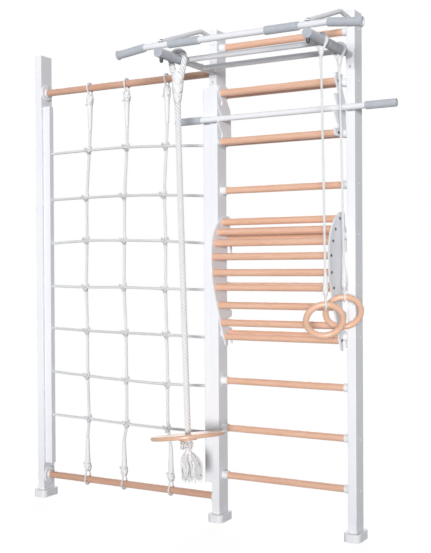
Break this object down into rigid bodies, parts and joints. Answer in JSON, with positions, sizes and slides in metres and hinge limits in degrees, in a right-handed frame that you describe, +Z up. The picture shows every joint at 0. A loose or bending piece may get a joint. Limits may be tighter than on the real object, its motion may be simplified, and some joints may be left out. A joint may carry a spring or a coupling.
{
  "type": "wall bars",
  "caption": "White steel wall bars with round wooden rungs, a rope net bay, pull-up bars, hook-on rack and bench, gym rings and a climbing rope with a seat.",
  "frame": {"origin": "on the floor at the axis of the middle post", "axes": "+X along the wall towards the ladder, +Y into the wall, +Z up"},
  "size_m": [2.0652, 0.597, 2.375],
  "materials": {
    "white_steel": "smooth white powder coat",
    "white_plastic": "matt white moulding",
    "beech": "clear satin varnish on light beech",
    "net_rope": "braided white cord",
    "net_knot": "white bindings with grey sides",
    "foam": "fine closed-cell foam, blue grey",
    "steel_bolt": "zinc plated",
    "dark_bolt": "black oxide",
    "twisted_rope": "three-strand twisted white rope"
  },
  "bodies": {
    "frame": {"post_left": "white_steel", "post_middle": "white_steel", "post_right": "white_steel", "feet": "white_plastic", "post_caps": "white_plastic", "net_rails": "white_steel", "net_bar_top": "beech", "net_bar_bottom": "beech", "net_bar_flanges": "white_steel", "net_flange_bolts": "steel_bolt", "rung_01": "beech", "rung_02": "beech", "rung_03": "beech", "rung_04": "beech", "rung_05": "beech", "rung_06": "beech", "rung_07": "beech", "rung_08": "beech", "rung_09": "beech", "rung_10": "beech", "rung_sleeves": "white_plastic", "rung_bolts": "white_steel", "net_rope_vertical_1": "net_rope", "net_rope_vertical_2": "net_rope", "net_rope_vertical_3": "net_rope", "net_rope_horizontals": "net_rope", "net_knots": "net_knot", "arm_left": "white_steel", "arm_right": "white_steel", "arm_plates": "white_steel", "arm_screws": "dark_bolt", "grip_neutral_left": "foam", "grip_neutral_right": "foam", "front_bar": "white_steel", "grips_outer": "foam", "grips_inner": "foam", "cross_tube_front": "white_steel", "cross_tube_rear": "white_steel", "braces": "white_steel", "clamp_bolts": "white_steel"},
    "rack": {"rack_plate_left": "white_steel", "rack_plate_right": "white_steel", "rack_bar_upper": "beech", "rack_bar_lower": "beech", "rack_bar_screws": "steel_bolt"},
    "press_bar": {"press_bar": "white_steel", "press_grips": "foam"},
    "bench": {"bench_plate_left": "white_steel", "bench_plate_right": "white_steel", "bench_slats": "beech", "bench_slat_screws": "steel_bolt"},
    "ring_front": {"ring_front": "beech", "ring_rope_front": "twisted_rope"},
    "ring_rear": {"ring_rear": "beech", "ring_rope_rear": "twisted_rope"},
    "climbing_rope": {"climbing_rope": "twisted_rope", "seat_washer": "beech", "rope_knot": "twisted_rope", "rope_tassel": "twisted_rope"},
    "seat": {"seat_disc": "beech"}
  },
  "joints": [
    {"name": "rack_lift", "type": "slide", "parent": "frame", "child": "rack", "axis": [0, 0, 1], "range_m": [0, 0.021]},
    {"name": "press_bar_lift", "type": "slide", "parent": "rack", "child": "press_bar", "axis": [0, -0.6561, 0.7547], "range_m": [0, 0.086]},
    {"name": "bench_lift", "type": "slide", "parent": "frame", "child": "bench", "axis": [0, 0, 1], "range_m": [0, 0.0925]},
    {"name": "ring_front_swing", "type": "hinge", "parent": "frame", "child": "ring_front", "pos_m": [0.704, -0.372, 2.176], "axis": [0, -1, 0], "range_deg": [-30, 30]},
    {"name": "ring_rear_swing", "type": "hinge", "parent": "frame", "child": "ring_rear", "pos_m": [0.704, -0.173, 2.176], "axis": [0, -1, 0], "range_deg": [-1.3, 30]},
    {"name": "climbing_rope_swing", "type": "hinge", "parent": "frame", "child": "climbing_rope", "pos_m": [0, -0.368, 2.176], "axis": [0, -1, 0], "range_deg": [-20, 20]},
    {"name": "seat_slide", "type": "slide", "parent": "climbing_rope", "child": "seat", "axis": [0, -0.0512, 0.9987], "range_m": [0, 0.15]}
  ]
}
